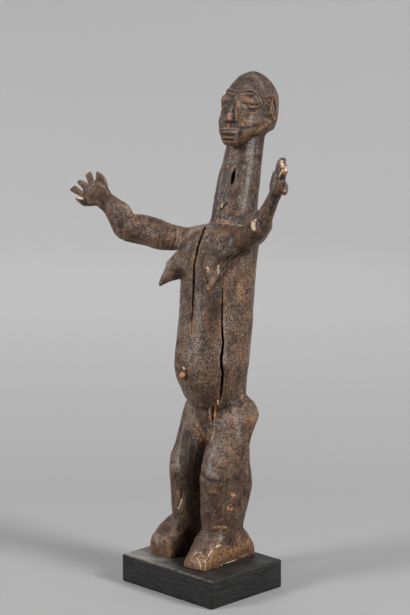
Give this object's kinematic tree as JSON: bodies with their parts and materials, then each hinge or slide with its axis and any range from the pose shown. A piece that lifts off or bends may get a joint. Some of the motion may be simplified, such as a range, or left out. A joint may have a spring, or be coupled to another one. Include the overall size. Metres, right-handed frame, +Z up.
{
  "type": "carved figure",
  "caption": "Carved dark wood standing woman with raised open hands and a long neck, mounted on a black rectangular plinth.",
  "frame": {"origin": "centre of the plinth's underside", "axes": "+Z up along the figure, the figure faces -Y, and its left arm points to +X"},
  "size_m": [0.2369, 0.1274, 0.424],
  "materials": {
    "carved_wood": "dark crusty patina, worn to warm brown on the arms, lower leg and foot",
    "black_wood": "black paint, low sheen, fine grain"
  },
  "bodies": {
    "root": {"figure": "carved_wood", "plinth": "black_wood"}
  },
  "joints": []
}
